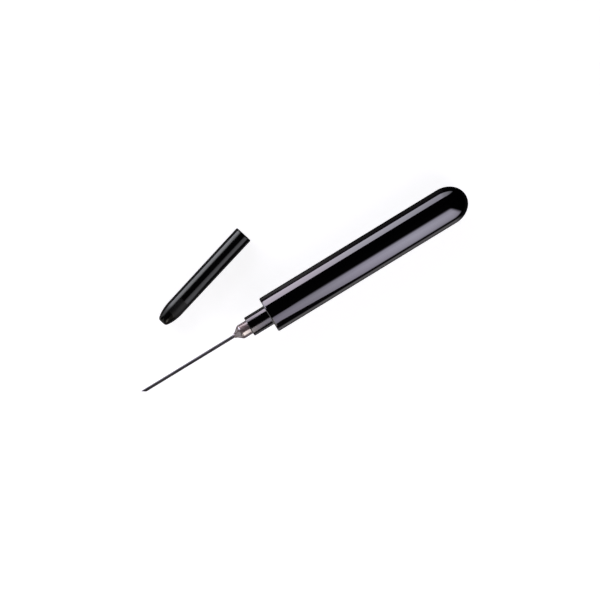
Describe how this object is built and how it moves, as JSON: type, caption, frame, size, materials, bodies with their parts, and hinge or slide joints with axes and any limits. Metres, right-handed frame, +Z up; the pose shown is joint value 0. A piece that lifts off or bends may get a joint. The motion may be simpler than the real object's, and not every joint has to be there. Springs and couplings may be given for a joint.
{
  "type": "air pump wine opener",
  "caption": "Pen-shaped air pump with a hollow needle, a sliding domed handle and a separate tapered needle cap, for lifting a cork with air pressure.",
  "frame": {"origin": "middle of the footprint of the pump and its cap, on the surface that they lie on", "axes": "+X along the pump's axis from the needle to the domed end of the handle, +Y towards the needle cap, +Z up"},
  "size_m": [0.2082, 0.0603, 0.021],
  "materials": {
    "gloss_black_barrel": "high gloss black",
    "gloss_black_tube": "high gloss black",
    "satin_black_cap": "satin black",
    "chrome_hub": "polished chrome plate",
    "needle_steel": "dark polished steel",
    "bright_steel": "drawn bright steel",
    "brass": "turned brass",
    "white_acetal": "moulded, off-white",
    "black_nylon": "moulded, matt black",
    "black_rubber": "moulded rubber",
    "red_rubber": "moulded silicone rubber"
  },
  "bodies": {
    "pump_body": {"pump_cylinder": "gloss_black_tube", "rod_guide": "white_acetal", "head_guide_ring": "black_nylon", "needle_hub": "chrome_hub", "hub_o_ring": "red_rubber", "needle": "needle_steel", "needle_ferrule": "brass", "valve_seat": "white_acetal", "valve_spring": "bright_steel"},
    "valve_ball": {"check_ball": "bright_steel"},
    "rod": {"piston_rod": "bright_steel", "piston": "white_acetal", "piston_seal": "black_rubber", "piston_screw": "bright_steel", "rod_washer": "bright_steel", "rod_nut": "bright_steel"},
    "handle": {"handle_shell": "gloss_black_barrel", "mouth_bush": "black_nylon", "rod_anchor": "black_nylon", "stop_cushion": "black_rubber"},
    "cap": {"needle_cap": "satin_black_cap"}
  },
  "joints": [
    {"name": "handle_stroke", "type": "slide", "parent": "pump_body", "child": "rod", "axis": [1, 0, 0], "range_m": [0, 0.08]},
    {"name": "handle_swivel", "type": "hinge", "parent": "rod", "child": "handle", "pos_m": [0, -0.01977, 0.01048], "axis": [1, 0, 0], "continuous": true},
    {"name": "ball_lift", "type": "slide", "parent": "pump_body", "child": "valve_ball", "axis": [-1, 0, 0], "range_m": [0, 0.0008], "stiffness_N_per_m": 20, "springref_m": -0.002, "deforming": ["valve_spring"]},
    {"name": "cap_pull", "type": "slide", "parent": "pump_body", "child": "cap", "axis": [-0.9627, -0.2706, 0], "range_m": [0, 0.067]}
  ]
}
